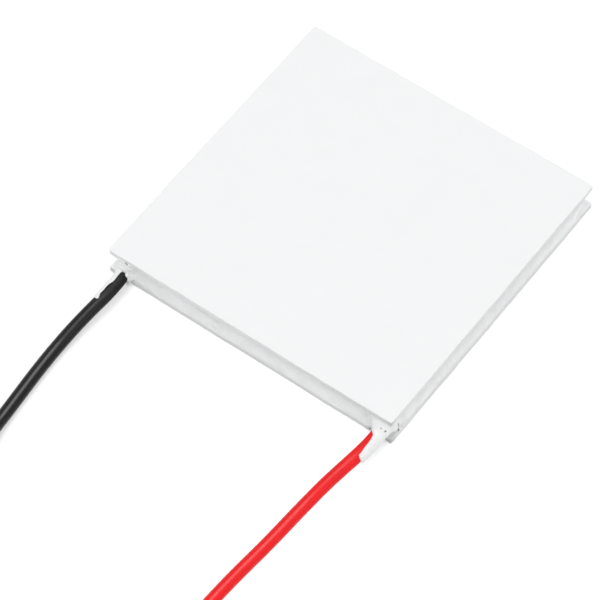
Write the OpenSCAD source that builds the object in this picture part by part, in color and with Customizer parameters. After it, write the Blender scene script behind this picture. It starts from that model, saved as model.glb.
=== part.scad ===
// Thermoelectric generator module: two square ceramic plates with a chain of semiconductor legs
// and copper tabs between them, a silicone seal round the edge, and two free leads.
// Lengths are in millimetres. +Z points out of the cold-side plate, and the leads leave towards -Y.

/* [Plates] */
// Edge length of both square ceramic plates
plate_side = 40; // [30:0.5:60]
// Thickness of each ceramic plate
plate_t = 0.8; // [0.5:0.05:1.5]
// Radius of the plates' corners
plate_corner_r = 0.5; // [0.1:0.05:1.2]

/* [Legs and tabs] */
// Leg positions along each side of the square grid, an even number
grid_n = 16; // [8:2:18]
// Side of a square leg
leg_side = 1.4; // [0.8:0.05:1.6]
// Height of a leg, with the solder films at its two ends
leg_h = 2.1; // [1.6:0.1:4]
// Thickness of a copper tab
tab_t = 0.35; // [0.15:0.05:0.6]
// How far a tab reaches past the sides of the legs that it joins
tab_overhang = 0.15; // [0.05:0.05:0.25]

/* [Seal] */
// Depth of the groove that the seal leaves between the plates' edges
seal_recess = 0.45; // [0.2:0.05:1]
// Thickness of the seal's wall
seal_wall = 0.4; // [0.2:0.05:1]
// Room between the seal and the outermost tabs
seal_to_tab = 0.3; // [0.2:0.05:1]
// Room between the seal and the terminal tabs, which are wider
seal_to_terminal = 0.1; // [0.05:0.05:0.2]

/* [Lead joints] */
// Distance of each lead from the middle of its terminal tab, towards +X
lead_offset = 0.5; // [0:0.05:0.6]
// Thickness of the solder under a conductor
solder_under = 0.15; // [0.05:0.05:0.4]
// Thickness of the solder over a conductor
solder_over = 0.2; // [0.1:0.05:0.4]
// Width of the solder where it wets the tab
solder_foot = 1; // [0.8:0.05:1.1]
// Length of the solder along a conductor
solder_l = 1.4; // [0.8:0.1:1.6]
// How far a conductor's end shows past the solder
core_past = 0.1; // [0.05:0.05:0.3]

/* [Leads] */
// Outer diameter of a lead's insulation
lead_d = 1.6; // [1.2:0.1:1.8]
// Diameter of a lead's stranded conductor
core_d = 0.76; // [0.5:0.02:0.9]
// Length of the bare tinned tip at a lead's far end
tip_l = 6; // [3:0.5:10]

/* [Lead sealant] */
// Radius of the blob of silicone where a lead leaves the plates
dab_r = 1.3; // [1:0.05:1.5]
// Width of silicone in the groove on either side of a lead
dab_reach = 1.5; // [1:0.1:2]
// Thickness of the silicone film along a lead
dab_film = 0.18; // [0.1:0.02:0.3]
// Length of the silicone film along a lead
dab_l = 4; // [2:0.25:5]

/* [Coils] */
// Radius of a coil's innermost turn, at the middle of the lead
coil_in = 6.85; // [6:0.05:8]
// Room between neighbouring turns
turn_gap = 0.05; // [0.02:0.01:0.2]
// Thickness of the strap that ties a coil
tie_t = 0.3; // [0.2:0.05:0.5]
// Angle that a tie covers, in degrees
tie_angle = 10; // [6:1:20]

/* [Hidden] */
$fn = 48;
// overlap that joins the parts of one solid, and margin of a cut
eps = 0.01;
// room between curved pieces that are bonded or wrapped round each other
fit = 0.02;
half = plate_side / 2;
gap = leg_h + 2 * tab_t;
total_h = gap + 2 * plate_t;
tab_top = plate_t + tab_t;

// the seal's outer and inner walls, and the grid inside them
seal_out = half - seal_recess;
seal_in = seal_out - seal_wall;
grid_end = seal_in - seal_to_tab - tab_overhang - leg_side / 2;
pitch = 2 * grid_end / (grid_n - 1);
tab_w = leg_side + 2 * tab_overhang;
tab_l = pitch + tab_w;
terminal_w = 2 * (seal_in - seal_to_terminal - grid_end);

// the legs' chain runs up one column and down the next, from one front corner to the other
chain_end = grid_n * grid_n - 1;
function column(k) = floor(k / grid_n);
function row(k) = column(k) % 2 == 0 ? k % grid_n : grid_n - 1 - k % grid_n;
function spot(k) = [-grid_end + column(k) * pitch, -grid_end + row(k) * pitch];

// the leads' axes where they leave the module
lead_z = max(tab_top + solder_under + core_d / 2, plate_t + lead_d / 2 + fit);
black_x = -grid_end + lead_offset;
red_x = grid_end + lead_offset;
core_end_y = -grid_end + solder_l / 2 + core_past;

// turns of a coil: two turns on top from the outside in, then out again underneath
turn = lead_d + turn_gap;
low_z = lead_d / 2;
high_z = low_z + turn;
top_r = coil_in + 2 * turn;
down_angle = 60;
top_cover = 325;
low_cover = 300;

// the leads' routes: steps from the exit in X and Y, and heights above the floor
straight_out = 2;
lead_in = 2.4;
black_steps = [
    [0, -4, 1.65], [-0.2, -6, 1.5], [-0.4, -8, 1.3], [-0.5, -10, 1.1], [-0.6, -12, 0.9],
    [-0.5, -14.5, 0.8], [-0.3, -17, 0.8], [0, -19.5, 0.8], [0.2, -22, 0.8], [0.5, -24.5, 1],
    [1.1, -27, 1.6], [2, -29.5, 2.3], [3.1, -32, 2.45]];
red_steps = [
    [0, -4, 1.65], [-0.3, -6.5, 1.45], [-0.8, -9, 1.2], [-1.2, -11.5, 0.95], [-1.4, -14, 0.85],
    [-1.5, -17, 0.8], [-1.7, -20, 0.8], [-2, -23, 0.8], [-2.2, -26, 0.8], [-2.3, -29, 0.8],
    [-2.4, -32, 0.8], [-2.4, -35, 0.8], [-2.4, -38, 1.1], [-2.4, -41, 1.8], [-2.4, -44, 2.35]];
// each coil's middle as steps from the exit, the angle where the lead comes in, the whole turn
// clockwise to where it leaves, the length of its straight tail and the angle of its tie
black_coil_at = [-3, -42];
black_in = 30;
black_sweep = 1650;
black_tail = 7;
black_tie = -90;
red_coil_at = [-11.6, -52];
red_in = 15;
red_sweep = 1545;
red_tail = 14;
red_tie = -45;

function exit(x) = [x, -half, 0];
function middle(x, at) = [x + at[0], -half + at[1], 0];
function round_at(angle) = [cos(angle), sin(angle), 0];
function clockwise(angle) = [sin(angle), -cos(angle), 0];
function out_r(sweep) = coil_in + turn * (sweep - 720 - down_angle) / 360;
function lead_route(x, steps, at, angle) =
    let (door = middle(x, at) + top_r * round_at(angle) + [0, 0, high_z])
    concat(
        [[x, -seal_out, lead_z], exit(x) + [0, -straight_out, lead_z]],
        [for (s = steps) exit(x) + s],
        [door - lead_in * clockwise(angle), door]);

// A square with round corners, on the middle of the part
module round_square(side, r) {
    square([side, side - 2 * r], center = true);
    square([side - 2 * r, side], center = true);
    for (x = [-1, 1], y = [-1, 1])
        translate([x, y] * (side / 2 - r)) circle(r);
}

// A cylinder that lies along -Y from a point
module along_y(from, d, length) {
    translate(from) rotate([90, 0, 0]) cylinder(d = d, h = length);
}

// A tube with eight sides along a list of points. Each ring stands square to the way there.
module swept_tube(points, d) {
    sides = 8;
    last = len(points) - 1;
    function way(i) =
        let (v = points[min(i + 1, last)] - points[max(i - 1, 0)]) v / norm(v);
    function ahead(i) =
        i == 0 ? (points[1] - points[0]) / norm(points[1] - points[0]) :
        i == last ? (points[last] - points[last - 1]) / norm(points[last] - points[last - 1]) : way(i);
    function side(i) = let (v = cross(ahead(i), [0, 0, 1])) v / norm(v);
    function corner(i, j) =
        let (a = (j + 0.5) * 360 / sides, s = side(i))
        points[i] + d / 2 * (cos(a) * s + sin(a) * cross(s, ahead(i)));
    polyhedron(
        points = [for (i = [0 : last], j = [0 : sides - 1]) corner(i, j)],
        faces = concat(
            [[for (j = [sides - 1 : -1 : 0]) j]],
            [for (i = [0 : last - 1], j = [0 : sides - 1])
                let (k = (j + 1) % sides)
                [i * sides + j, i * sides + k, (i + 1) * sides + k, (i + 1) * sides + j]],
            [[for (j = [0 : sides - 1]) last * sides + j]]));
}

module ceramic_plate(z) {
    color("whitesmoke") translate([0, 0, z])
        linear_extrude(plate_t) round_square(plate_side, plate_corner_r);
}

module cold_side_plate() { ceramic_plate(plate_t + gap); }

module hot_side_plate() { ceramic_plate(0); }

// The wall of silicone between the plates. The bare conductors pass through it.
module perimeter_seal() {
    color("gainsboro") difference() {
        translate([0, 0, plate_t]) linear_extrude(gap) difference() {
            round_square(2 * seal_out, plate_corner_r);
            square(2 * seal_in, center = true);
        }
        for (x = [black_x, red_x])
            along_y([x, -seal_in + seal_wall, lead_z], core_d + 2 * fit, 3 * seal_wall);
    }
}

// One copper tab over two neighbouring spots of the chain
module tab(a, b, z, width = tab_w) {
    across = spot(a)[0] != spot(b)[0];
    size = across ? [tab_l, width, tab_t] : [width, tab_l, tab_t];
    mid = (spot(a) + spot(b)) / 2;
    translate([mid[0], mid[1], z] - [size[0], size[1], 0] / 2) cube(size);
}

module cold_side_tabs() {
    color("peru") for (k = [1 : 2 : chain_end - 2]) tab(k, k + 1, plate_t + gap - tab_t);
}

module hot_side_tabs() {
    color("peru") for (k = [2 : 2 : chain_end - 3]) tab(k, k + 1, plate_t);
}

module black_terminal_tab() { color("peru") tab(0, 1, plate_t, terminal_w); }

module red_terminal_tab() { color("peru") tab(chain_end - 1, chain_end, plate_t, terminal_w); }

// The legs of one kind in one column, which stand between the tabs. The chain's two ends are empty.
module legs(c, odd) {
    for (k = [(c - 1) * grid_n : c * grid_n - 1])
        if (k > 0 && k < chain_end && k % 2 == odd)
            translate([spot(k)[0] - leg_side / 2, spot(k)[1] - leg_side / 2, tab_top])
                cube([leg_side, leg_side, leg_h]);
}

module p_legs(c) { color("dimgray") legs(c, 1); }

module n_legs(c) { color("slategray") legs(c, 0); }

// A mound of solder that holds a conductor on its terminal tab
module lead_solder(x) {
    core_up = lead_z - tab_top;
    mound_r = core_d / 2 + solder_over;
    color("silver") difference() {
        translate([x, -grid_end + solder_l / 2, tab_top]) rotate([90, 0, 0]) linear_extrude(solder_l)
            intersection() {
                union() {
                    translate([0, core_up]) circle(mound_r);
                    polygon([[-solder_foot / 2, 0], [solder_foot / 2, 0],
                             [mound_r * 0.8, core_up], [-mound_r * 0.8, core_up]]);
                }
                translate([-solder_foot, 0]) square([2 * solder_foot, core_up + 2 * mound_r]);
            }
        along_y([x, -grid_end + solder_l, lead_z], core_d + fit, 2 * solder_l);
    }
}

module black_lead_solder() { lead_solder(black_x); }

module red_lead_solder() { lead_solder(red_x); }

// The stripped end of a conductor, from the lead's insulation to past the solder
module lead_core(x) {
    color("lightgray") along_y([x, core_end_y, lead_z], core_d, core_end_y + seal_out);
}

module black_lead_core() { lead_core(black_x); }

module red_lead_core() { lead_core(red_x); }

// Silicone where a lead leaves: it fills the groove, bulges in front of it and thins out along
// one side of the lead
module lead_sealant(x, side) {
    film_r = lead_d / 2 + dab_film;
    color("white") difference() {
        union() {
            intersection() {
                translate([0, 0, plate_t]) linear_extrude(gap) difference() {
                    round_square(plate_side, plate_corner_r);
                    round_square(2 * seal_out, plate_corner_r);
                }
                translate([x - dab_reach, -half, 0]) cube([2 * dab_reach, 2 * seal_recess, total_h]);
            }
            intersection() {
                translate([x, -half, lead_z]) sphere(dab_r);
                translate([x - dab_reach, -half - 2 * dab_r, 0]) cube([2 * dab_reach, 2 * dab_r, total_h]);
            }
            intersection() {
                along_y([x, -half, lead_z], 2 * film_r, dab_l);
                linear_extrude(total_h) polygon([
                    [x - side * 2 * film_r, -half], [x + side * 2 * film_r, -half],
                    [x + side * 2 * film_r, -half - dab_l - film_r], [x + side * film_r, -half - dab_l],
                    [x - side * film_r, -half - film_r / 2], [x - side * 2 * film_r, -half - film_r / 2]]);
            }
        }
        along_y([x, -seal_out + seal_recess, lead_z], lead_d + 2 * fit, 2 * seal_recess + 2 * dab_l);
    }
}

module black_lead_sealant() { lead_sealant(black_x, -1); }

module red_lead_sealant() { lead_sealant(red_x, 1); }

module black_lead() {
    color("#242527") swept_tube(lead_route(black_x, black_steps, black_coil_at, black_in), lead_d);
}

module red_lead() {
    color("#ee3032") swept_tube(lead_route(red_x, red_steps, red_coil_at, red_in), lead_d);
}

// A part of a ring with a rectangular section, clockwise from one angle
module ring_part(from, cover, r0, r1, z0, z1) {
    rotate([0, 0, from - cover])
        rotate_extrude(angle = cover) translate([r0, z0]) square([r1 - r0, z1 - z0]);
}

// The outer shape of a coil. The outermost turns stop where the lead comes in on top and where
// its tail leaves underneath, and there is a notch under the tie.
module lead_coil(at, angle, sweep, tie) {
    end_r = out_r(sweep);
    inner = coil_in - lead_d / 2;
    second = inner + lead_d;
    split = turn_gap / 4 + lead_d / 2;
    top_z = high_z + lead_d / 2;
    translate(at) difference() {
        union() {
            ring_part(angle + 100, 360, inner, min(end_r, top_r) - split, 0, top_z);
            ring_part(angle - sweep + low_cover, low_cover, second, end_r + lead_d / 2, 0, lead_d + eps);
            ring_part(angle, top_cover, second, top_r + lead_d / 2, lead_d, top_z);
        }
        ring_part(tie + tie_angle / 2, tie_angle, inner - lead_d, end_r + lead_d, -eps, tie_t);
    }
}

module black_lead_coil() {
    color("#242527") lead_coil(middle(black_x, black_coil_at), black_in, black_sweep, black_tie);
}

module red_lead_coil() {
    color("#ee3032") lead_coil(middle(red_x, red_coil_at), red_in, red_sweep, red_tie);
}

// A flat strap round all turns of a coil. It runs under them in the coil's notch.
module coil_tie(at, sweep, tie) {
    r0 = coil_in - lead_d / 2;
    r1 = max(out_r(sweep), top_r) + lead_d / 2;
    z1 = high_z + lead_d / 2;
    color("gray") translate(at) rotate([0, 0, tie - tie_angle / 2])
        rotate_extrude(angle = tie_angle) difference() {
            translate([r0 - tie_t, 0]) square([r1 - r0 + 2 * tie_t, z1 + tie_t]);
            translate([r0, tie_t]) square([r1 - r0, z1 - tie_t]);
        }
}

module black_coil_tie() { coil_tie(middle(black_x, black_coil_at), black_sweep, black_tie); }

module red_coil_tie() { coil_tie(middle(red_x, red_coil_at), red_sweep, red_tie); }

// A straight rod that goes on from the end of a coil's last turn
module past_coil(at, angle, sweep, start, length, d) {
    leave = angle - sweep;
    from = at + out_r(sweep) * round_at(leave) + start * clockwise(leave) + [0, 0, low_z];
    translate(from) rotate([0, 0, leave]) rotate([90, 0, 0]) cylinder(d = d, h = length);
}

module black_lead_tail() {
    color("#242527")
        past_coil(middle(black_x, black_coil_at), black_in, black_sweep, 0, black_tail, lead_d);
}

module red_lead_tail() {
    color("#ee3032") past_coil(middle(red_x, red_coil_at), red_in, red_sweep, 0, red_tail, lead_d);
}

module black_lead_tip() {
    color("silver")
        past_coil(middle(black_x, black_coil_at), black_in, black_sweep, black_tail, tip_l, core_d);
}

module red_lead_tip() {
    color("silver") past_coil(middle(red_x, red_coil_at), red_in, red_sweep, red_tail, tip_l, core_d);
}

cold_side_plate();
hot_side_plate();
perimeter_seal();
cold_side_tabs();
hot_side_tabs();
black_terminal_tab();
red_terminal_tab();
black_lead_solder();
red_lead_solder();
black_lead_core();
red_lead_core();
black_lead_sealant();
red_lead_sealant();
black_lead();
red_lead();
black_lead_coil();
red_lead_coil();
black_coil_tie();
red_coil_tie();
black_lead_tail();
red_lead_tail();
black_lead_tip();
red_lead_tip();
for (c = [1 : grid_n]) p_legs(c);
for (c = [1 : grid_n]) n_legs(c);
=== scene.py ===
"""Looks of a thermoelectric generator module: ceramic plates, silicone, leads and a plain studio."""

import math

import bpy
import numpy as np
from mathutils import Matrix, Vector


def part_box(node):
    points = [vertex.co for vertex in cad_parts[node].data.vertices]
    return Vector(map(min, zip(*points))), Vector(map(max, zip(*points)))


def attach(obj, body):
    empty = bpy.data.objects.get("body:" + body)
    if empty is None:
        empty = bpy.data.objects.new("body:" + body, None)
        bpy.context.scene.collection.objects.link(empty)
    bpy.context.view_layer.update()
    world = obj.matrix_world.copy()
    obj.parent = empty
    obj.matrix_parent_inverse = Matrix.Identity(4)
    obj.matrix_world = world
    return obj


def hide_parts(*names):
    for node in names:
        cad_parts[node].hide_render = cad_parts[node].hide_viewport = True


bl_info = {
    "name": "Thermoelectric generator module",
    "version": (1, 0, 0),
    "blender": (4, 5, 0),
    "location": "3D View > Sidebar > Module",
    "description": "Builds the visible pieces of a thermoelectric generator module round its CAD frame",
    "category": "Object",
}

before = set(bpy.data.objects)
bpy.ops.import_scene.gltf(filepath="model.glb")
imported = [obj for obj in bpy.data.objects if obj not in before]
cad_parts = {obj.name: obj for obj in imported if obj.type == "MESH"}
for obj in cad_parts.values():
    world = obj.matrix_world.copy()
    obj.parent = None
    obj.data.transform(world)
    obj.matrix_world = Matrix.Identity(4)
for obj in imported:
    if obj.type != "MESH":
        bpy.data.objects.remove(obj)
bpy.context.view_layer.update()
BODY = "root"
MM = 0.001

# the frame's own sizes, in millimetres
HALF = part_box("cold_side_plate")[1].x / MM
GAP_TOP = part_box("cold_side_plate")[0].z / MM
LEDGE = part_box("hot_side_plate")[1].z / MM
SEAL_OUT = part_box("perimeter_seal")[1].x / MM
INSIDE = HALF - SEAL_OUT

# radii of the seal's corners, and how far the seal reaches into both plates
CORNER_R = 0.5
OPEN_CORNER_R = 1.2
SUNK = 0.04

# Each plate: its underside, the radii of its corners and the seed of its worn edge. Then its
# painted shade, taken off the colour: the share taken off its sides, partly the scribed edge's own
# greyer tone and partly painted shade, the painted shade of the +X side at half height and its rise
# to the lower rim, the painted shade added towards the +X end of the -Y side, and spots of painted
# shadow, or of painted light where the strength is below 0, with their place, radius, strength and
# their shares on the edge and on the faces.
PLATES = (
    {
        "name": "upper_ceramic", "node": "cold_side_plate",
        "low": GAP_TOP, "corners": (0.15, 0.12, 0.2, 0.45), "seed": 3,
        "edge_tone_and_shade": 0.06, "right": 1.3, "right_shade_rise": 0.9, "front_shade_gain": 2.0,
        # painted shade at the +X,-Y corner, and painted light on the -Y side round x = -13
        "spots": (((HALF, -HALF), 0.7, 2.5, 1, 0), ((-13, -HALF), 4, -0.8, 1, 0))},
    {
        "name": "lower_ceramic", "node": "hot_side_plate",
        "low": 0.0, "corners": (0.1, 0.12, 0.1, 0.1), "seed": 9,
        "edge_tone_and_shade": 0.17, "right": 0.6, "right_shade_rise": 0.0, "front_shade_gain": 0.0,
        # painted shadow under the silicone at the +X,-Y corner and at the red lead's exit, painted
        # light near the +X,+Y corner
        "spots": (
            ((HALF, -HALF), 0.85, 1.7, 1, 1), ((17.2, -HALF), 0.35, 2.2, 1, 1),
            ((HALF, HALF), 2.5, -0.7, 0, 1))})
# depth of what counts as the side of a plate, and reach of the painted shade's gain along the -Y side
SIDE_DEPTH = 0.2
GAIN_REACH = 15

# height of a lead where it leaves, and of the middle of a coil's lower and upper turns
LEAD_Z = 1.68
LOW_Z = 0.8
HIGH_Z = 2.45
# a coil: step from turn to turn, radius of the innermost turn and of the lead's way in, angles of
# the turns on top and of the step down, straight run before the coil, and the tie's size
TURN = 1.65
COIL_IN = 6.85
TOP_R = COIL_IN + 2 * TURN
TOP_ANGLE = 720
DOWN_ANGLE = 60
LEAD_IN = 2.4
TIE_T = 0.3
TIE_ANGLE = 10
# Each lead: its exit, its route as steps from there in X and Y with heights above the floor, the
# coil's middle in steps, the angles where the lead comes in, that it turns and where it is tied,
# its tail, and the vinyl's range of roughness and its specular level. Then its silicone:
# film: angle round the lead where it is thickest, length, how much longer it is on one side, shares
# of its thickness at both ends, seed, and half its width in degrees by distance from the plates
# blob: height and length of the swelling at the exit, and the share of it under the lead
# fill: the stretch of the groove that is filled, how far it stands out, the length over which each
# end thins out, and the place, height and width of the arch in its lower edge
# beads and pits: the middle and radius of each drop and of each small pit, which gets painted shade
LEADS = {
    "black": {
        "x": -17.53,
        "steps": [
            (-0.15, INSIDE, LEAD_Z), (0.03, -2, LEAD_Z), (0.02, -4, 1.65),
            (-0.15, -6, 1.5), (-0.31, -8, 1.3), (-0.41, -10, 1.1), (-0.45, -12, 0.9),
            (-0.37, -14.5, 0.8), (-0.18, -17, 0.8), (0.06, -19.5, 0.8), (0.3, -22, 0.8),
            (0.6, -24.5, 1),
            (1.1, -27, 1.6), (2, -29.5, 2.3), (3.1, -32, 2.45)],
        "coil_at": (-3, -42), "way_in": 30, "sweep": 1650, "tail": 7, "tie": -90,
        "rough": (0.24, 0.32), "shine": 0.17,
        "film_at": 162, "film_long": 4.85, "film_skew": -0.5, "film_share": (1.2, 0.8),
        "film_seed": 425,
        "film_wide": [
            (0, 80), (0.75, 62), (2.2, 61), (2.6, 50), (3.1, 42), (3.5, 46), (4.3, 47),
            (4.6, 60), (5, 72)],
        "blob": (0.3, 0.5, 2.3),
        "fill": (-38.0, -35.0), "fill_out": 0.5, "arch": (-36.5, 0.0, 0.5), "ends": (0.25, 0.8),
        "beads": [((-16.85, -20.4, 0.6), 0.3), ((-16.78, -20.5, 1.55), 0.22)]
        + [((-16.85, -20.34, 1.87), 0.3), ((-16.97, -20.39, 2.2), 0.3)]
        + [((-18.45 + 0.25 * n, -19.78, 3.6), 0.36) for n in range(7)]
        + [((-18.3 + 0.25 * n, -19.85, 3.1), 0.45) for n in range(6)]
        + [((-18.1 + 0.24 * n, -20.05, 2.7), 0.46) for n in range(4)],
        "pits": [((-17.47 + 0.1 * n, -20.1, 3.89 - 0.04 * n), 0.09) for n in range(4)]},
    "red": {
        "x": 18.43,
        "steps": [
            (0.1, INSIDE, 1.5), (0.1, -2, 1.5), (-0.08, -4, 1.5), (-0.45, -6.5, 1.4),
            (-0.84, -9, 1.2), (-1.14, -11.5, 0.95), (-1.34, -14, 0.85),
            (-1.52, -17, 0.8), (-1.73, -20, 0.8), (-1.99, -23, 0.8), (-2.2, -26, 0.8),
            (-2.33, -29, 0.8), (-2.4, -32, 0.8), (-2.4, -35, 0.8), (-2.4, -38, 1.1),
            (-2.4, -41, 1.8), (-2.4, -44, 2.35)],
        "coil_at": (-11.6, -52), "way_in": 15, "sweep": 1545, "tail": 14, "tie": -45,
        "rough": (0.28, 0.36), "shine": 0.15,
        "film_at": -20, "film_long": 4.4, "film_skew": 0.25, "film_share": (1.6, 1.9),
        "film_seed": 427,
        "film_wide": [
            (0, 160), (0.75, 150), (1, 138), (1.25, 115), (1.5, 110), (2, 102), (2.5, 96), (3, 93),
            (3.5, 87), (4, 80), (4.3, 81)],
        "blob": (0.6, 0.62, 0.0),
        "fill": (-2.3, 2.0), "fill_out": 0.5, "arch": (0.3, 1.1, 0.5), "ends": (1.0, 0.35),
        "beads": [((19.05, -20.1, 2.3), 0.55), ((19.86, -18.22, 0.84), 0.35)],
        "pits": [
            ((19.43, -20.31, 2.6), 0.12), ((18.87, -20.4, 2.78), 0.07), ((19.96, -18.57, 1.01), 0.13)]
        + [((19.91 + 0.01 * n, -18.5 - 0.013 * n, 1.3 - 0.08 * n), 0.09) for n in range(3)]
        + [((20.0 + 0.0145 * n, -18.65 - 0.0187 * n, 2.64 - 0.1 * n), 0.08) for n in range(7)]},
}


class CeramicSettings(bpy.types.PropertyGroup):
    """Finish of the two ceramic plates."""

    colour: bpy.props.FloatVectorProperty(
        name="Ceramic colour", description="Colour of the fired alumina", subtype="COLOR",
        size=3, min=0, max=1, default=(0.88, 0.887, 0.892))
    edge_round: bpy.props.FloatProperty(
        name="Edge rounding", description="Width of the worn edge of a plate", subtype="DISTANCE",
        unit="LENGTH", default=0.00006, min=0.00001, max=0.0002, precision=6)
    chip_depth: bpy.props.FloatProperty(
        name="Chip depth", description="Depth of the nicks along a plate's edges", subtype="DISTANCE",
        unit="LENGTH", default=0.00005, min=0, max=0.0004, precision=6)


class SiliconeSettings(bpy.types.PropertyGroup):
    """Shape and finish of the silicone."""

    colour: bpy.props.FloatVectorProperty(
        name="Silicone colour", description="Colour of the cured silicone", subtype="COLOR",
        size=3, min=0, max=1, default=(0.88, 0.885, 0.89))
    lump: bpy.props.FloatProperty(
        name="Lump height", description="Height of the lumps on the seal's wall", subtype="DISTANCE",
        unit="LENGTH", default=0.00007, min=0, max=0.0003, precision=6)
    film: bpy.props.FloatProperty(
        name="Film thickness", description="Thickness of the silicone film along a lead",
        subtype="DISTANCE", unit="LENGTH", default=0.00014, min=0.00005, max=0.0004, precision=6)


class LeadSettings(bpy.types.PropertyGroup):
    """Sizes and colours of the two leads."""

    diameter: bpy.props.FloatProperty(
        name="Lead diameter", description="Outer diameter of the insulation", subtype="DISTANCE",
        unit="LENGTH", default=0.0016, min=0.0012, max=0.0018, precision=5)
    core_diameter: bpy.props.FloatProperty(
        name="Conductor diameter", description="Diameter of the bare tinned tip", subtype="DISTANCE",
        unit="LENGTH", default=0.00076, min=0.0005, max=0.0009, precision=5)
    tip_length: bpy.props.FloatProperty(
        name="Tip length", description="Length of the bare tinned tip", subtype="DISTANCE",
        unit="LENGTH", default=0.006, min=0.003, max=0.01, precision=4)
    black: bpy.props.FloatVectorProperty(
        name="Black insulation", description="Colour of the negative lead", subtype="COLOR",
        size=3, min=0, max=1, default=(0.009, 0.0092, 0.0102))
    red: bpy.props.FloatVectorProperty(
        name="Red insulation", description="Colour of the positive lead", subtype="COLOR",
        size=3, min=0, max=1, default=(0.88, 0.012, 0.014))
    strap: bpy.props.FloatVectorProperty(
        name="Tie colour", description="Colour of the straps round the coils", subtype="COLOR",
        size=3, min=0, max=1, default=(0.62, 0.62, 0.60))


class StudioSettings(bpy.types.PropertyGroup):
    """Floor, lamps and camera."""

    floor: bpy.props.FloatVectorProperty(
        name="Floor colour", description="Colour of the plain floor", subtype="COLOR",
        size=3, min=0, max=1, default=(0.80, 0.80, 0.80))
    side_power: bpy.props.FloatProperty(
        name="Side lamp", description="Power of the lamp on the right", subtype="POWER", unit="POWER",
        default=1.1, min=0)
    front_power: bpy.props.FloatProperty(
        name="Front lamp", description="Power of the lamp above the leads", subtype="POWER",
        unit="POWER", default=2.1, min=0)
    glint_power: bpy.props.FloatProperty(
        name="Glint lamp", description="Power of the lamp that shows in glossy surfaces only",
        subtype="POWER", unit="POWER", default=12.0, min=0)
    surround: bpy.props.FloatProperty(
        name="Surround", description="Strength of the light from all sides", default=0.735, min=0)
    azimuth: bpy.props.FloatProperty(
        name="Camera azimuth", description="Angle of the camera round the module", subtype="ANGLE",
        unit="ROTATION", default=math.radians(37.755))
    elevation: bpy.props.FloatProperty(
        name="Camera elevation", description="Angle of the camera above the floor", subtype="ANGLE",
        unit="ROTATION", default=math.radians(56.289))
    roll: bpy.props.FloatProperty(
        name="Camera roll", description="Turn of the camera about its own axis", subtype="ANGLE",
        unit="ROTATION", default=math.radians(-1.513))
    distance: bpy.props.FloatProperty(
        name="Camera distance", description="Distance from the module's middle", subtype="DISTANCE",
        unit="LENGTH", default=0.42762)
    slide: bpy.props.FloatVectorProperty(
        name="Camera slide", description="Steps of the camera to its right and up", size=2,
        subtype="XYZ", unit="LENGTH", default=(-0.006004, -0.007101))
    lens: bpy.props.FloatProperty(
        name="Focal length", description="Focal length in millimetres on a 36 mm sensor",
        default=220.98)


def ripple(places, wavelength, seed, waves=12):
    """A smooth random height: the sum of plane waves in random directions, near one wavelength."""
    draw = np.random.default_rng(seed)
    ways = draw.normal(size=(waves, 3))
    ways /= np.linalg.norm(ways, axis=1, keepdims=True)
    turns = ways * (2 * math.pi / wavelength) * draw.uniform(0.65, 1.5, (waves, 1))
    return np.sin(places @ turns.T + draw.uniform(0, 2 * math.pi, waves)).sum(-1) / math.sqrt(waves)


def ease(t):
    """A smooth step: 0 below 0, 1 above 1, and 3t² - 2t³ between."""
    t = np.clip(t, 0, 1)
    return t * t * (3 - 2 * t)


def square_outline(half, corner_r, spacing, arc_points=9):
    """Points round a square with round corners, anticlockwise, and the outward direction at each.
    Each corner is a quarter circle, of one radius for all or of four, and the straight sides have
    points about one spacing apart."""
    radii = np.broadcast_to(np.asarray(corner_r, float), 4)
    middles = (half - radii)[:, None] * np.array([[1, -1], [1, 1], [-1, 1], [-1, -1]])
    side_points = int(2 * (half - radii.max()) / spacing)
    places, ways = [], []
    for number, (middle, r) in enumerate(zip(middles, radii)):
        angle = math.radians(90) * (number - 1 + np.linspace(0, 1, arc_points))
        way = np.stack([np.cos(angle), np.sin(angle)], axis=1)
        straight = np.linspace(0, 1, side_points, endpoint=False)[1:, None]
        following = (number + 1) % 4
        leave, ahead = middle + r * way[-1], middles[following] + radii[following] * way[-1]
        places += [middle + r * way, leave + (ahead - leave) * straight]
        ways += [way, np.repeat(way[-1:], side_points - 1, axis=0)]
    return np.concatenate(places), np.concatenate(ways)


def grid_faces(rows, columns, wrap_rows=False, wrap_columns=False):
    """Quads between the neighbours in a grid of points. A wrapped direction closes on itself."""
    i, j = np.meshgrid(
        np.arange(rows if wrap_rows else rows - 1),
        np.arange(columns if wrap_columns else columns - 1), indexing="ij")
    below, beside = (i + 1) % rows, (j + 1) % columns
    quads = np.stack(
        [i * columns + j, below * columns + j, below * columns + beside, i * columns + beside], axis=-1)
    return quads.reshape(-1, 4)


def fan_faces(ring, middle):
    """Triangles between each two neighbours of a closed ring and one point in its middle."""
    return np.stack([ring, np.roll(ring, -1), np.full(len(ring), middle)], axis=1)


def make_mesh(name, places, face_sets, smooth=True, scale=MM):
    """A mesh from points and sets of faces, in metres, with its faces turned outwards."""
    mesh = bpy.data.meshes.new(name)
    faces = [face for faces in face_sets for face in faces.tolist()]
    mesh.from_pydata((places.reshape(-1, 3) * scale).tolist(), [], faces)
    mesh.polygons.foreach_set("use_smooth", np.full(len(mesh.polygons), smooth))
    mesh.validate()
    if signed_volume(mesh) < 0:
        mesh.flip_normals()
    mesh.update()
    return mesh


def signed_volume(mesh):
    """Sum of the tetrahedra between the origin and each triangle: below 0 where faces point inwards."""
    mesh.calc_loop_triangles()
    corners = np.empty(len(mesh.vertices) * 3)
    mesh.vertices.foreach_get("co", corners)
    triangles = np.empty(len(mesh.loop_triangles) * 3, np.int64)
    mesh.loop_triangles.foreach_get("vertices", triangles)
    a, b, c = corners.reshape(-1, 3)[triangles.reshape(-1, 3)].transpose(1, 0, 2)
    return float((a * np.cross(b, c)).sum())


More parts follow.
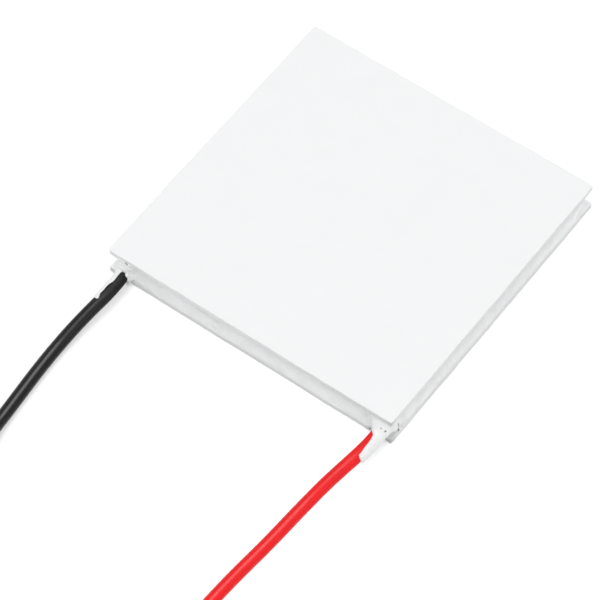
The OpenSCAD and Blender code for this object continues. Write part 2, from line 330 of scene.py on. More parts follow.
def show(name, data, material, slot, *nodes):
    """Puts a piece in the scene on the module's body, in place of the CAD nodes it stands for."""
    piece = bpy.data.objects.new(name, data)
    bpy.context.scene.collection.objects.link(piece)
    data.materials.append(material)
    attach(piece, BODY)
    if nodes:
        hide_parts(*nodes)
    return piece


def put(tree, kind, inputs=None, **settings):
    """Adds a shader node with its settings, and sets or links each of its named inputs."""
    node = tree.nodes.new(kind)
    for key, value in settings.items():
        setattr(node, key, value)
    for key, value in (inputs or {}).items():
        if isinstance(value, bpy.types.NodeSocket):
            tree.links.new(value, node.inputs[key])
        else:
            node.inputs[key].default_value = value
    return node


def seen_directly(tree):
    """A socket that is 1 for what the camera sees, also in reflections and through glass, and 0 for
    light on matt surfaces: the largest of the three ray tests."""
    rays = put(tree, "ShaderNodeLightPath").outputs
    seen = rays["Is Camera Ray"]
    for kind in ("Is Glossy Ray", "Is Transmission Ray"):
        seen = put(tree, "ShaderNodeMath", {0: seen, 1: rays[kind]}, operation="MAXIMUM").outputs[0]
    return seen


def finish_material(
        name, colour, shade, grain, roughness, bump, metallic=0.0, specular=0.5, dull=None):
    """A surface whose colour wanders between two shades on a broad noise, and whose roughness and
    height follow a fine noise. The mesh's dark attribute, where it has one, takes its share
    off the colour: painted shade, and painted light where it is below 0. Near a dull place the
    roughness rises. shade is a wavelength in metres and the share of the deeper tone, grain a
    wavelength, bump a strength and a height, and dull a place and a reach."""
    dull_rise = 0.35
    material = bpy.data.materials.new(name)
    material.use_nodes = True
    tree = material.node_tree
    shader = tree.nodes["Principled BSDF"]
    place = put(tree, "ShaderNodeTexCoord").outputs["Object"]
    broad = put(tree, "ShaderNodeTexNoise", {
        "Vector": place, "Scale": 1 / shade[0], "Detail": 4.0, "Roughness": 0.6})
    ramp = put(tree, "ShaderNodeValToRGB", {"Fac": broad.outputs["Fac"]})
    ramp.color_ramp.elements[0].position, ramp.color_ramp.elements[1].position = 0.3, 0.7
    ramp.color_ramp.elements[0].color = [c * shade[1] for c in colour] + [1]
    ramp.color_ramp.elements[1].color = list(colour) + [1]
    # painted shade from the mesh's attribute, taken off the colour; below 0 it is painted light
    painted_shade_node = put(tree, "ShaderNodeAttribute", attribute_name="dark")
    kept = put(tree, "ShaderNodeMath", {0: 1.0, 1: painted_shade_node.outputs["Fac"]}, operation="SUBTRACT")
    toned = put(tree, "ShaderNodeVectorMath", {
        "Vector": ramp.outputs["Color"], "Scale": kept.outputs[0]}, operation="SCALE")
    tree.links.new(toned.outputs["Vector"], shader.inputs["Base Color"])
    fine = put(tree, "ShaderNodeTexNoise", {
        "Vector": place, "Scale": 1 / grain, "Detail": 3.0, "Roughness": 0.55})
    rough = put(tree, "ShaderNodeMapRange", {
        "Value": fine.outputs["Fac"], "From Min": 0.3, "From Max": 0.7,
        "To Min": roughness[0], "To Max": roughness[1]})
    if dull:
        far = put(tree, "ShaderNodeVectorMath", {0: place, 1: dull[0]}, operation="DISTANCE")
        smear = put(tree, "ShaderNodeMapRange", {
            "Value": far.outputs["Value"], "From Min": 0.5 * dull[1], "From Max": dull[1],
            "To Min": dull_rise, "To Max": 0.0})
        rough = put(tree, "ShaderNodeMath", {0: rough.outputs[0], 1: smear.outputs[0]}, operation="ADD")
    tree.links.new(rough.outputs[0], shader.inputs["Roughness"])
    height = put(tree, "ShaderNodeBump", {
        "Height": fine.outputs["Fac"], "Strength": bump[0], "Distance": bump[1]})
    tree.links.new(height.outputs["Normal"], shader.inputs["Normal"])
    shader.inputs["Metallic"].default_value = metallic
    shader.inputs["Specular IOR Level"].default_value = specular
    return material


def ceramic_plate(low, corner_r, seed, edge_round, chip_depth):
    """A square plate with round corners: an edge profile carried round the outline, and flat faces
    of smaller and smaller outlines up to a middle point. The broken edge wanders a little, and
    nicks of a bell shape lie along its two rims. The last result is 1 on the edge's side, and falls
    to 0 at the faces."""
    thick, nicks, nick_high = LEDGE, 26, 0.22
    outline, ways = square_outline(HALF, corner_r, 0.16)
    count = len(outline)
    e = edge_round
    worn = 1.4 * e
    rim = np.array([(-worn, 0), (-e, 0), (-0.3 * e, 0.3 * e), (0, e)])
    side = np.stack([np.zeros(5), np.linspace(0, thick, 7)[1:-1]], axis=1)
    profile = np.concatenate([rim, side, (rim * (1, -1) + (0, thick))[::-1]])
    around = np.concatenate([outline, np.zeros((count, 1))], axis=1)
    wander = 0.018 * ripple(around, 5.0, seed) + 0.008 * ripple(around, 0.9, seed + 1)
    outward = np.repeat(profile[None, :, 0], count, axis=0)
    up = np.repeat(profile[None, :, 1], count, axis=0)
    at_edge = np.clip(1 + outward / worn, 0, 1)
    outward = outward + at_edge * wander[:, None]
    draw = np.random.default_rng(seed + 2)
    rim_z = np.where(draw.random(nicks) < 0.5, 0, thick)
    along = np.concatenate([[0], np.cumsum(np.linalg.norm(np.diff(outline, axis=0), axis=1))])
    spots, widths = draw.uniform(0, along[-1], nicks), draw.uniform(0.15, 0.5, nicks)
    depths = chip_depth * draw.uniform(0.25, 1, nicks)
    near = np.exp(-((along[:, None] - spots) / widths) ** 2)
    bite = (near[:, None, :] * np.exp(-((up[..., None] - rim_z) / nick_high) ** 2) * depths).sum(-1)
    outward = outward - bite * at_edge
    places = np.empty((len(profile), count, 3))
    places[..., :2] = (outline[:, None] + ways[:, None] * outward[..., None]).transpose(1, 0, 2)
    places[..., 2] = low + up.T
    shares = np.array([0.97, 0.8, 0.5, 0.2])
    inwards = np.stack([shares, shares, np.ones(len(shares))], axis=1)
    below, above = places[0] * inwards[::-1, None], places[-1] * inwards[:, None]
    rows = np.concatenate([below, places, above])
    points = np.concatenate([rows.reshape(-1, 3), [[0, 0, low], [0, 0, low + thick]]])
    ring = np.arange(count)
    last = (len(rows) - 1) * count
    climb = ease(1.2 * np.arange(len(profile) - 2) / 3)
    flat = np.zeros(len(shares) + 1)
    on_side = np.concatenate([flat, climb * climb[::-1], flat])
    on_side = np.append(np.repeat(on_side, count), [0, 0])
    return points, [
        grid_faces(len(rows), count, wrap_columns=True),
        fan_faces(ring, len(points) - 2)[:, ::-1], fan_faces(ring + last, len(points) - 1)], on_side


def seal_wall(lump):
    """A wall round the inside of the plates: a closed section carried round the outline. Its outer
    side leans out to the lower plate's edge, but not at the corners, and has lumps and small pits.
    On the +X side painted shade deepens from the foot up to the upper plate, where that plate's
    shadow falls, and painted light makes the foot paler towards +Y. On the -Y side painted light makes
    the upper part paler towards -X. The last result is this painted shade and light."""
    wall, pit_count, painted_top_shade, painted_left_light = 0.4, 60, 0.05, 0.06
    outline, ways = square_outline(SEAL_OUT, (CORNER_R, OPEN_CORNER_R, CORNER_R, CORNER_R), 0.1635)
    count, rows = len(outline), 21
    t = np.linspace(0, 1, rows)
    rise = t * (GAP_TOP - LEDGE + 2 * SUNK)
    foot = 0.38 * (1 - ease((rise - 0.1) / 1.3)) - 0.3 * ease((rise - 1.2) / 0.9)
    places = np.empty((rows + 2, count, 3))
    where = np.concatenate([
        np.repeat(outline[None], rows, axis=0),
        np.repeat((LEDGE - SUNK + rise)[:, None, None], count, axis=1)], axis=2)
    body = ease(t / 0.12) * ease((1 - t) / 0.12)
    from_corner = np.hypot(*(HALF - np.abs(outline)).T)
    open_corner = 1 - ease((from_corner - 1.6) / 2)
    leaning = 1 - open_corner * (foot[:, None] > 0)
    out = foot[:, None] * (1 + 0.12 * ripple(where, 2.2, 5)) * leaning
    out += lump * body[:, None] * (ripple(where, 2.6, 11) + 0.5 * ripple(where, 0.8, 12))
    draw = np.random.default_rng(31)
    pits = draw.integers(0, count, pit_count)
    pit_z, pit_r = LEDGE + draw.uniform(0.5, 2.2, pit_count), draw.uniform(0.07, 0.2, pit_count)
    for pit, z, r in zip(pits, pit_z, pit_r):
        far = np.linalg.norm(where - np.append(outline[pit], z), axis=2)
        out -= 1.1 * r * np.exp(-(far / r) ** 2)
    out = np.clip(out, -0.3, 0.42)
    places[:rows, :, :2] = outline + ways * out[..., None]
    places[:rows, :, 2] = where[..., 2]
    inside = outline - wall * ways
    places[rows, :, :2], places[rows + 1, :, :2] = inside, inside
    places[rows, :, 2], places[rows + 1, :, 2] = GAP_TOP + SUNK, LEDGE - SUNK
    # painted shade under the upper plate on the +X side, and painted light at its foot towards +Y and
    # on the -Y side's upper part towards -X
    high = ease((places[..., 2] - 1.3) / 0.9)
    painted_foot_light = 0.05 + 0.04 * ease((outline[:, 1] - 6) / 8) + 0.03 * ease((outline[:, 1] - 14) / 3)
    dark = np.clip(ways[:, 0], 0, 1) * (painted_top_shade * high - painted_foot_light * (1 - high))
    dark -= painted_left_light * high * np.clip(-ways[:, 1], 0, 1) * ease((-7 - outline[:, 0]) / 6)
    return places, [grid_faces(rows + 2, count, wrap_rows=True, wrap_columns=True)], dark


def sleeve(lead, film, lead_r):
    """Silicone film along a lead: a tube whose wall is thick over a sector of angles and sinks into
    the lead elsewhere. The sector's width changes away from the plates and ends in a rounded tip,
    and a blob of a bell shape lies round the lead where it leaves."""
    steps, turns, start = 80, 72, -0.45
    tip, soft, sunk, wall = 0.35, 0.25, 0.12, 0.25
    long, (swell, fade, under) = lead["film_long"], lead["blob"]
    s = np.linspace(start, long + abs(lead["film_skew"]), steps)[:, None]
    angle = np.linspace(0, 2 * math.pi, turns, endpoint=False)[None]
    aside = (angle - math.radians(lead["film_at"]) + math.pi) % (2 * math.pi) - math.pi
    axis = lead_middle(lead, s)
    way = np.stack(np.broadcast_arrays(np.cos(angle), 0 * angle, np.sin(angle)), axis=-1)
    half_wide = np.radians(np.interp(s, *zip(*lead["film_wide"])))
    end = long + lead["film_skew"] * np.clip(aside, -1, 1)
    half_wide = half_wide * np.sqrt(np.clip((end - s) / tip, 0, 1))
    cover = ease((half_wide - np.abs(aside)) / soft + 0.5)
    blob = swell * np.exp(-((s + 0.1) / fade) ** 2)
    wobble = 0.02 * ripple(axis + lead_r * way, 0.9, lead["film_seed"])
    thick_first, thick_last = lead["film_share"]
    thick = film * (thick_first + (thick_last - thick_first) * np.clip(s / long, 0, 1))
    blob = blob * (under + (1 - under) * ease((np.sin(angle) + 0.2) / 0.9))
    outer = lead_r - sunk + cover * (sunk + thick + wobble) + blob
    inner = np.full_like(outer, lead_r - wall)
    shell = np.concatenate([axis + way * outer[..., None], (axis + way * inner[..., None])[::-1]])
    shell[..., 2] = np.clip(shell[..., 2], LEDGE - 0.35, GAP_TOP + 0.05)
    return shell, [grid_faces(2 * steps, turns, wrap_rows=True, wrap_columns=True)]


def lead_middle(lead, s):
    """The middle of a lead at distances from the plates, along the straight steps of its route."""
    x, y, z = np.array(lead["steps"]).T
    return np.stack([lead["x"] + np.interp(s, -y, x), -HALF - s, np.interp(s, -y, z)], axis=-1)


def groove_fill(lead):
    """Silicone pushed into the groove: a bulging section carried along a stretch of the outline,
    thinning out towards the two ends of the stretch. Its lower edge rises in an arch of a bell
    shape."""
    rows, tuck, sunk, wall = 25, 0.03, 0.2, 0.3
    start, stop = lead["fill"]
    outline, ways = square_outline(SEAL_OUT, CORNER_R, 0.1, 25)
    along = np.concatenate([[0], np.cumsum(np.linalg.norm(np.diff(outline, axis=0), axis=1))])
    along = np.where(along > along[-1] / 2, along - along[-1], along)
    keep = np.argsort(along)
    keep = keep[(along[keep] > start) & (along[keep] < stop)]
    outline, ways, along = outline[keep], ways[keep], along[keep]
    t = np.linspace(0, math.pi, rows)[:, None]
    ends = ease((along - start) / lead["ends"][0]) * ease((stop - along) / lead["ends"][1])
    arch_at, arch_high, arch_wide = lead["arch"]
    low = LEDGE - tuck + arch_high * np.exp(-((along - arch_at) / arch_wide) ** 2)
    z = low + (GAP_TOP + tuck - low) * (1 - np.cos(t)) / 2
    reach = -sunk + (lead["fill_out"] + sunk) * ends
    where = np.stack(np.broadcast_arrays(outline[:, 0], outline[:, 1], z), axis=-1)
    bulge = np.sin(t) ** 0.5 * (reach + 0.05 * ripple(where, 1.2, 77) * ends)
    places = np.empty((rows + 2, len(outline), 3))
    places[:rows, :, :2] = outline + ways * bulge[..., None]
    places[:rows, :, 2] = z
    places[rows:, :, :2] = outline - wall * ways
    places[rows, :, 2], places[rows + 1, :, 2] = GAP_TOP, low
    count = len(outline)
    first = np.arange(rows + 2) * count
    return places, [
        grid_faces(rows + 2, count, wrap_rows=True), first[None], first[None, ::-1] + count - 1]


def bead(middle, r):
    """A round drop of silicone: a sphere on a grid of heights and turns, closed at its two poles."""
    rows, turns = 12, 20
    tilt = np.linspace(0, math.pi, rows + 2)[1:-1, None]
    turn = np.linspace(0, 2 * math.pi, turns, endpoint=False)[None]
    way = np.stack(np.broadcast_arrays(
        np.sin(tilt) * np.cos(turn), np.sin(tilt) * np.sin(turn), np.cos(tilt)), axis=-1)
    points = np.concatenate([way.reshape(-1, 3), [(0, 0, 1), (0, 0, -1)]]) * r + middle
    ring = np.arange(turns)
    return points, [
        grid_faces(rows, turns, wrap_columns=True), fan_faces(ring, len(points) - 2)[:, ::-1],
        fan_faces(ring + (rows - 1) * turns, len(points) - 1)]


def prick(mesh, pits):
    """Presses small pits of a bell shape into a mesh, against its outward directions, and paints
    shade into them in the dark attribute."""
    depth_share, deepest_pit_shade = 0.35, 0.95
    places, ways = np.empty(len(mesh.vertices) * 3), np.empty(len(mesh.vertices) * 3)
    mesh.vertices.foreach_get("co", places)
    mesh.vertices.foreach_get("normal", ways)
    places, ways = places.reshape(-1, 3), ways.reshape(-1, 3)
    whole, dark = places.copy(), np.zeros(len(places))
    for middle, r in pits:
        nearest = whole[np.argmin(np.linalg.norm(whole - np.array(middle) * MM, axis=1))]
        near = np.exp(-(np.linalg.norm(whole - nearest, axis=1) / (r * MM)) ** 2)
        places = places - ways * (depth_share * r * MM * near)[:, None]
        dark = np.maximum(dark, deepest_pit_shade * near)
    mesh.vertices.foreach_set("co", places.ravel())
    mesh.attributes.new("dark", "FLOAT", "POINT").data.foreach_set("value", dark)
    mesh.update()


def blended(name, shells, voxel=0.055, passes=7):
    """Several closed shells melted into one: remeshed on fine voxels in millimetres, smoothed, and
    brought to metres."""
    parts, faces, offset = [], [], 0
    for places, face_sets in shells:
        mesh = make_mesh("shell", places, face_sets, scale=1)
        corners = np.empty(len(mesh.vertices) * 3)
        mesh.vertices.foreach_get("co", corners)
        faces += [[v + offset for v in p.vertices] for p in mesh.polygons]
        parts.append(corners.reshape(-1, 3))
        offset += len(mesh.vertices)
        bpy.data.meshes.remove(mesh)
    rough = bpy.data.meshes.new(name + "_rough")
    rough.from_pydata(np.concatenate(parts).tolist(), [], faces)
    holder = bpy.data.objects.new(name + "_rough", rough)
    bpy.context.scene.collection.objects.link(holder)
    melt = holder.modifiers.new("melt", "REMESH")
    melt.mode, melt.voxel_size, melt.use_smooth_shade = "VOXEL", voxel, True
    even = holder.modifiers.new("even", "SMOOTH")
    even.factor, even.iterations = 0.5, passes
    graph = bpy.context.evaluated_depsgraph_get()
    done = bpy.data.meshes.new_from_object(holder.evaluated_get(graph))
    bpy.data.objects.remove(holder)
    bpy.data.meshes.remove(rough)
    done.name = name
    done.transform(Matrix.Scale(MM, 4))
    done.polygons.foreach_set("use_smooth", np.full(len(done.polygons), True))
    done.update()
    return done


def clockwise(angle):
    """The way along a circle at an angle in degrees, seen from above and turning clockwise."""
    return np.array([math.sin(math.radians(angle)), -math.cos(math.radians(angle)), 0])


def round_at(angle):
    """The way out from a circle's middle at an angle in degrees."""
    return np.array([math.cos(math.radians(angle)), math.sin(math.radians(angle)), 0])


def coil_middle(lead):
    """The point on the floor that a lead's coil is wound round."""
    return np.array([lead["x"] + lead["coil_at"][0], -HALF + lead["coil_at"][1], 0])


def coil_radius(turned):
    """The radius of a coil after an angle in degrees: two turns on top run inwards, and after the
    step down the turns below run outwards."""
    return np.where(
        turned < TOP_ANGLE, TOP_R - TURN * turned / 360,
        COIL_IN + TURN * np.maximum(turned - TOP_ANGLE - DOWN_ANGLE, 0) / 360)


def coil_turns(lead):
    """The middle of a coiled lead: turns on top, a step down and turns below. All turns rise over
    the run of the tie under them."""
    step_angle, rise_angle = 12, 14
    turned = np.linspace(0, lead["sweep"], int(lead["sweep"] / step_angle) + 1)
    down = ease((turned - TOP_ANGLE) / DOWN_ANGLE)
    radius = coil_radius(turned)
    angle = lead["way_in"] - turned
    from_tie = np.abs((angle - lead["tie"] + 180) % 360 - 180)
    lift = TIE_T * ease(1.6 - from_tie / rise_angle)
    middle = coil_middle(lead)
    return np.stack([
        middle[0] + radius * np.cos(np.radians(angle)),
        middle[1] + radius * np.sin(np.radians(angle)),
        HIGH_Z + (LOW_Z - HIGH_Z) * down + lift], axis=1)


def lead_path(lead):
    """The middle of a whole lead: straight out of the plates, down to the floor, up on its coil,
    round the coil and out on a straight tail."""
    leave = np.array([lead["x"], -HALF, 0])
    door = coil_middle(lead) + TOP_R * round_at(lead["way_in"]) + (0, 0, HIGH_Z)
    turns = coil_turns(lead)
    ahead = clockwise(lead["way_in"] - lead["sweep"])
    tail = turns[-1] + ahead * np.linspace(0, lead["tail"], 5)[1:, None]
    return np.concatenate([
        leave + np.array(lead["steps"]), [door - LEAD_IN * clockwise(lead["way_in"])], turns, tail])


def bare_tip(lead, core_r, length):
    """Six twisted strands dipped in tin: a round section with six low lobes that turns along the
    straight tip, and closes in a rounded end."""
    rows, turns, root = 46, 48, 0.6
    s = np.linspace(-root, length, rows)[:, None]
    angle = np.linspace(0, 2 * math.pi, turns, endpoint=False)[None]
    lobes = 1 - 0.075 * (1 - np.abs(np.cos(3 * (angle + s * 2 * math.pi / 9)))) ** 1.5
    end = np.sqrt(np.clip(1 - ((s - length + 0.25) / 0.26).clip(0) ** 2, 0.02, 1))
    radius = core_r * lobes * end
    ahead = clockwise(lead["way_in"] - lead["sweep"])
    aside = np.cross(ahead, (0, 0, 1))
    start = lead_path(lead)[-1]
    places = (start + s[..., None] * ahead + (radius * np.cos(angle))[..., None] * aside
              + (radius * np.sin(angle))[..., None] * np.array([0, 0, 1]))
    points = np.concatenate([places.reshape(-1, 3), [start - root * ahead, start + length * ahead]])
    ring = np.arange(turns)
    return points, [
        grid_faces(rows, turns, wrap_columns=True), fan_faces(ring, len(points) - 2)[:, ::-1],
        fan_faces(ring + (rows - 1) * turns, len(points) - 1)]


def belt(corners, r, arc_points=9):
    """Points round a polygon at one distance from it, anticlockwise, and the outward direction at
    each. Each corner is an arc from the direction of one side to that of the next."""
    corners = np.array(corners, float)
    sides = np.roll(corners, -1, axis=0) - corners
    after = np.unwrap(np.arctan2(sides[:, 1], sides[:, 0])) - math.pi / 2
    before = np.append(after[-1] - 2 * math.pi, after[:-1])
    angle = before[:, None] + (after - before)[:, None] * np.linspace(0, 1, arc_points)
    way = np.stack([np.cos(angle), np.sin(angle)], axis=-1)
    return (corners[:, None] + r * way).reshape(-1, 2), way.reshape(-1, 2)


def strap(lead, lead_r):
    """A flat strap drawn tight round all turns of a coil: a thin section with round edges, carried
    round the outline of the turns that it crosses."""
    passes = np.arange((lead["way_in"] - lead["tie"]) % 360, lead["sweep"], 360)
    top = coil_radius(passes[passes < TOP_ANGLE])
    low = coil_radius(passes[passes > TOP_ANGLE])
    low_z, high_z = LOW_Z + TIE_T, HIGH_Z + TIE_T
    loop, ways = belt(
        [(low.min(), low_z), (low.max(), low_z), (top.max(), high_z), (top.min(), high_z)], lead_r)
    around = np.linspace(0, 2 * math.pi, 16, endpoint=False)
    half_wide = math.radians(TIE_ANGLE) / 2 * (low.min() + low.max()) / 2
    across = half_wide * np.sign(np.cos(around)) * np.abs(np.cos(around)) ** 0.35
    out = TIE_T / 2 * (1 + np.sign(np.sin(around)) * np.abs(np.sin(around)) ** 0.6)
    rim = loop[None] + ways[None] * out[:, None, None]
    places = (coil_middle(lead) + rim[..., :1] * round_at(lead["tie"])
              + rim[..., 1:] * np.array([0, 0, 1])
              + across[:, None, None] * clockwise(lead["tie"]))
    return places, [grid_faces(len(around), len(loop), wrap_rows=True, wrap_columns=True)]


class MODULE_OT_ceramic_plates(bpy.types.Operator):
    """Builds the two ceramic plates"""

    bl_idname = "module.ceramic_plates"
    bl_label = "Ceramic plates"

    def execute(self, context):
        made = context.scene.module_ceramic
        alumina = finish_material(
            "fired_alumina", made.colour, (0.004, 0.985), 0.00011, (0.6, 0.75), (0.12, 0.00002),
            specular=0.15)
        for plate in PLATES:
            name, low = plate["name"], plate["low"]
            *surface, on_side = ceramic_plate(
                low, plate["corners"], plate["seed"], made.edge_round / MM, made.chip_depth / MM)
            mesh = make_mesh(name, *surface)
            x, y, z = surface[0].T
            # painted shade on the plates' sides, taken off the colour: a share on the +X side that
            # rises to the lower rim, more towards the +X end of the -Y side, and spots of painted
            # shadow and painted light; part of the sides' tone is the scribed edge's own greyer tone
            right = plate["right"] + plate["right_shade_rise"] * (1 - 2 * (z - low) / LEDGE)
            gain = plate["front_shade_gain"] * np.exp(-((HALF - x) / GAIN_REACH) ** 2)
            front_side_shade = np.where(y < SIDE_DEPTH - HALF, gain, 0)
            dark = on_side * (np.where(x > HALF - SIDE_DEPTH, right, 1.0) + front_side_shade)
            for shade_spot, r, strength, on_edge, on_face in plate["spots"]:
                near = np.exp(-(np.linalg.norm(surface[0][:, :2] - shade_spot, axis=1) / r) ** 2)
                dark += strength * near * (on_face + (on_edge - on_face) * on_side)
            shade = mesh.attributes.new("dark", "FLOAT", "POINT")
            shade.data.foreach_set("value", plate["edge_tone_and_shade"] * dark)
            mesh.set_sharp_from_angle(angle=math.radians(40))
            show(name, mesh, alumina, "alumina_ceramic", plate["node"])
        return {"FINISHED"}


class MODULE_OT_silicone(bpy.types.Operator):
    """Builds the seal between the plates and the silicone on the leads"""

    bl_idname = "module.silicone"
    bl_label = "Silicone"

    def execute(self, context):
        made, leads = context.scene.module_silicone, context.scene.module_leads
        rubber = finish_material(
            "white_silicone", made.colour, (0.0016, 0.93), 0.0005, (0.4, 0.55), (0.35, 0.00005),
            specular=0.25)
        *surface, dark = seal_wall(made.lump / MM)
        seal = make_mesh("edge_seal", *surface)
        # the seal's painted shade and painted light
        seal.attributes.new("dark", "FLOAT", "POINT").data.foreach_set("value", dark.ravel())
        show("edge_seal", seal, rubber, "silicone", "perimeter_seal")
        for colour, lead in LEADS.items():
            name = colour + "_lead_silicone"
            shells = [sleeve(lead, made.film / MM, leads.diameter / MM / 2), groove_fill(lead)]
            mesh = blended(name, shells + [bead(*drop) for drop in lead["beads"]])
            # small pits with painted shade in them
            prick(mesh, lead["pits"])
            show(name, mesh, rubber, "silicone", colour + "_lead_sealant")
        return {"FINISHED"}


class MODULE_OT_insulated_leads(bpy.types.Operator):
    """Builds the two insulated leads with their bare tips and the ties round their coils"""

    bl_idname = "module.insulated_leads"
    bl_label = "Insulated leads"

    def execute(self, context):
        made = context.scene.module_leads
        dull_reach = 0.0065
        tin = finish_material(
            "tinned_strands", (0.74, 0.73, 0.71), (0.0006, 0.8), 0.00012, (0.24, 0.42),
            (0.3, 0.00002), metallic=1.0)
        matt = finish_material(
            "tie_strap", made.strap, (0.0012, 0.88), 0.00012, (0.55, 0.7), (0.3, 0.00003), specular=0.3)
        for colour, lead in LEADS.items():
            vinyl = finish_material(
                colour + "_vinyl", getattr(made, colour), (0.003, 0.9), 0.0003, lead["rough"],
                (0.08, 0.00003), specular=lead["shine"],
                dull=((lead["x"] * MM, -HALF * MM, LEAD_Z * MM), dull_reach))
            path = lead_path(lead)
            curve = bpy.data.curves.new(colour + "_insulation", "CURVE")
            curve.dimensions, curve.resolution_u = "3D", 5
            curve.bevel_depth, curve.bevel_resolution, curve.use_fill_caps = made.diameter / 2, 6, True
            spline = curve.splines.new("BEZIER")
            spline.bezier_points.add(len(path) - 1)
            spline.bezier_points.foreach_set("co", (path * MM).ravel())
            for point in spline.bezier_points:
                point.handle_left_type = point.handle_right_type = "AUTO"
            nodes = [colour + end for end in ("_lead", "_lead_coil", "_lead_tail")]
            cord = show(colour + "_insulation", curve, vinyl, colour + "_insulation", *nodes)
            # the white surfaces round the red lead take no red from it
            cord.visible_diffuse = colour != "red"
            core_r, tip_long = made.core_diameter / MM / 2, made.tip_length / MM
            tip_mesh = make_mesh(colour + "_bare_tip", *bare_tip(lead, core_r, tip_long))
            tip = show(colour + "_bare_tip", tip_mesh, tin, "tinned_copper", colour + "_lead_tip")
            tie_mesh = make_mesh(colour + "_strap", *strap(lead, made.diameter / MM / 2))
            tie = show(colour + "_strap", tie_mesh, matt, "tie_strap", colour + "_coil_tie")
        return {"FINISHED"}


class MODULE_OT_inner_parts(bpy.types.Operator):
    """Gives the legs, tabs, solder and conductors inside the module their finishes"""

    bl_idname = "module.inner_parts"
    bl_label = "Inner parts"

    def execute(self, context):
        copper = finish_material(
            "copper_tab", (0.78, 0.42, 0.27), (0.0015, 0.82), 0.00015, (0.28, 0.45), (0.2, 0.00002),
            metallic=1.0)
        tin = finish_material(
            "joint_solder", (0.72, 0.72, 0.70), (0.0008, 0.85), 0.0002, (0.25, 0.4), (0.3, 0.00003),
            metallic=1.0)
        strands = finish_material(
            "conductor_strands", (0.74, 0.73, 0.71), (0.0006, 0.8), 0.00012, (0.25, 0.42),
            (0.3, 0.00002), metallic=1.0)
        p_crystal = finish_material(
            "p_type_crystal", (0.30, 0.30, 0.32), (0.0007, 0.7), 0.0001, (0.35, 0.6), (0.4, 0.00003),
            metallic=0.7)
        n_crystal = finish_material(
            "n_type_crystal", (0.42, 0.43, 0.46), (0.0007, 0.72), 0.0001, (0.35, 0.6), (0.4, 0.00003),
            metallic=0.7)
        finishes = (
            ("p_legs", p_crystal), ("n_legs", n_crystal), ("_solder", tin), ("_core", strands),
            ("_tab", copper))
        for name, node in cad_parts.items():
            for part, material in finishes:
                if part in name:
                    node.data.materials.clear()
                    node.data.materials.append(material)
        return {"FINISHED"}


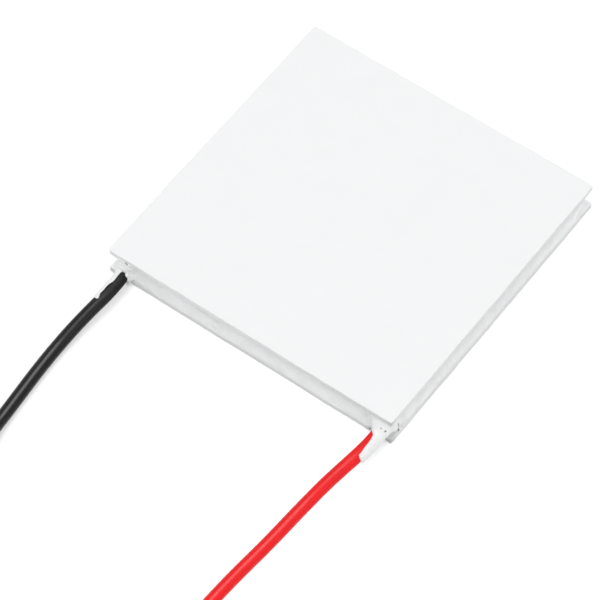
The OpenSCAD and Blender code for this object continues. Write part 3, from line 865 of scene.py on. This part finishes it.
class MODULE_OT_studio(bpy.types.Operator):
    """Sets up the floor, the lamps, the surround and the camera"""

    bl_idname = "module.studio"
    bl_label = "Studio"

    def execute(self, context):
        scene, made = context.scene, context.scene.module_studio
        scene.view_settings.view_transform = "Standard"
        self.lay_floor(scene, made)
        self.light(scene, made)
        self.aim(scene, made)
        return {"FINISHED"}

    def lay_floor(self, scene, made):
        """A large plain square just under the module. To the camera and in reflections it glows up
        to white, less where the module keeps the lamps' light off it."""
        reach, floor_z, glow_strength = 3.0, -0.00002, 0.38
        mesh = bpy.data.meshes.new("floor")
        mesh.from_pydata([(x, y, floor_z) for x, y in (
            (-reach, -reach), (reach, -reach), (reach, reach), (-reach, reach))], [], [(0, 1, 2, 3)])
        material = bpy.data.materials.new("pale_floor")
        material.use_nodes = True
        tree = material.node_tree
        tree.nodes.clear()
        glow = put(tree, "ShaderNodeMath", {
            0: seen_directly(tree), 1: glow_strength}, operation="MULTIPLY")
        light = put(tree, "ShaderNodeEmission", {"Color": (1, 1, 1, 1), "Strength": glow.outputs[0]})
        matt = put(tree, "ShaderNodeBsdfDiffuse", {"Color": (*made.floor, 1)})
        both = put(tree, "ShaderNodeAddShader", {0: light.outputs[0], 1: matt.outputs[0]})
        put(tree, "ShaderNodeOutputMaterial", {"Surface": both.outputs[0]})
        mesh.materials.append(material)
        floor = bpy.data.objects.new("floor", mesh)
        scene.collection.objects.link(floor)

    def light(self, scene, made):
        """A soft lamp above the leads, one on the right, one behind that shows in glossy surfaces
        only, and a surround that the camera and reflections see as white."""
        lamps = (
            ("front_lamp", made.front_power, (0.4, 0.4), (-0.1, -0.3, 0.85), True),
            ("side_lamp", made.side_power, (0.5, 0.5), (0.8, 0.0, 0.45), True),
            ("glint_lamp", made.glint_power, (0.7, 0.5), (0.0, 0.42, 0.88), False))
        for name, power, (wide, long), place, on_matt in lamps:
            lamp = bpy.data.lights.new(name, "AREA")
            lamp.shape, lamp.size, lamp.size_y, lamp.energy = "RECTANGLE", wide, long, power
            holder = bpy.data.objects.new(name, lamp)
            holder.location, holder.visible_diffuse = place, on_matt
            holder.rotation_euler = (-Vector(place)).to_track_quat("-Z", "Y").to_euler()
            scene.collection.objects.link(holder)
        world = bpy.data.worlds.new("surround")
        world.use_nodes = True
        scene.world = world
        tree = world.node_tree
        tree.nodes.clear()
        plain = put(tree, "ShaderNodeBackground", {"Color": (1, 1, 1, 1), "Strength": made.surround})
        white = put(tree, "ShaderNodeBackground", {"Color": (1, 1, 1, 1), "Strength": 1.0})
        both = put(tree, "ShaderNodeMixShader", {
            0: seen_directly(tree), 1: plain.outputs[0], 2: white.outputs[0]})
        put(tree, "ShaderNodeOutputWorld", {"Surface": both.outputs[0]})

    def aim(self, scene, made):
        """The camera looks at the module's middle from an azimuth and an elevation, turned by its
        roll and moved sideways in its own picture plane."""
        a, e, r = made.azimuth, made.elevation, made.roll
        back = Vector((math.sin(a) * math.cos(e), -math.cos(a) * math.cos(e), math.sin(e)))
        right = Vector((math.cos(a), math.sin(a), 0))
        up = back.cross(right)
        right, up = right * math.cos(r) + up * math.sin(r), up * math.cos(r) - right * math.sin(r)
        data = bpy.data.cameras.new("camera")
        data.sensor_width, data.lens = 36, made.lens
        data.clip_start, data.clip_end = 0.01, 20
        camera = bpy.data.objects.new("camera", data)
        turn = Matrix((right, up, back)).transposed().to_4x4()
        place = back * made.distance + right * made.slide[0] + up * made.slide[1]
        camera.matrix_world = Matrix.Translation(place) @ turn
        scene.collection.objects.link(camera)
        scene.camera = camera


class MODULE_PT_panel(bpy.types.Panel):
    """Lists the module's steps"""

    bl_idname = "MODULE_PT_panel"
    bl_label = "Thermoelectric module"
    bl_space_type = "VIEW_3D"
    bl_region_type = "UI"
    bl_category = "Module"

    def draw(self, context):
        for operator in OPERATORS:
            self.layout.operator(operator.bl_idname)
        for name in SETTINGS:
            box = self.layout.box()
            group = getattr(context.scene, name)
            for key in group.bl_rna.properties.keys():
                if key not in ("rna_type", "name"):
                    box.prop(group, key)


OPERATORS = (
    MODULE_OT_studio, MODULE_OT_insulated_leads, MODULE_OT_ceramic_plates, MODULE_OT_silicone,
    MODULE_OT_inner_parts)
SETTINGS = {
    "module_ceramic": CeramicSettings, "module_silicone": SiliconeSettings,
    "module_leads": LeadSettings, "module_studio": StudioSettings}
CLASSES = (*SETTINGS.values(), *OPERATORS, MODULE_PT_panel)


def register():
    """Adds the classes and the scene's settings."""
    for cls in CLASSES:
        bpy.utils.register_class(cls)
    for name, cls in SETTINGS.items():
        setattr(bpy.types.Scene, name, bpy.props.PointerProperty(type=cls))


def unregister():
    """Takes the settings and classes away again."""
    for name in SETTINGS:
        delattr(bpy.types.Scene, name)
    for cls in reversed(CLASSES):
        bpy.utils.unregister_class(cls)


def main():
    """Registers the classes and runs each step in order."""
    register()
    for operator in OPERATORS:
        group, step = operator.bl_idname.split(".")
        getattr(getattr(bpy.ops, group), step)()


if __name__ == "__main__":
    main()
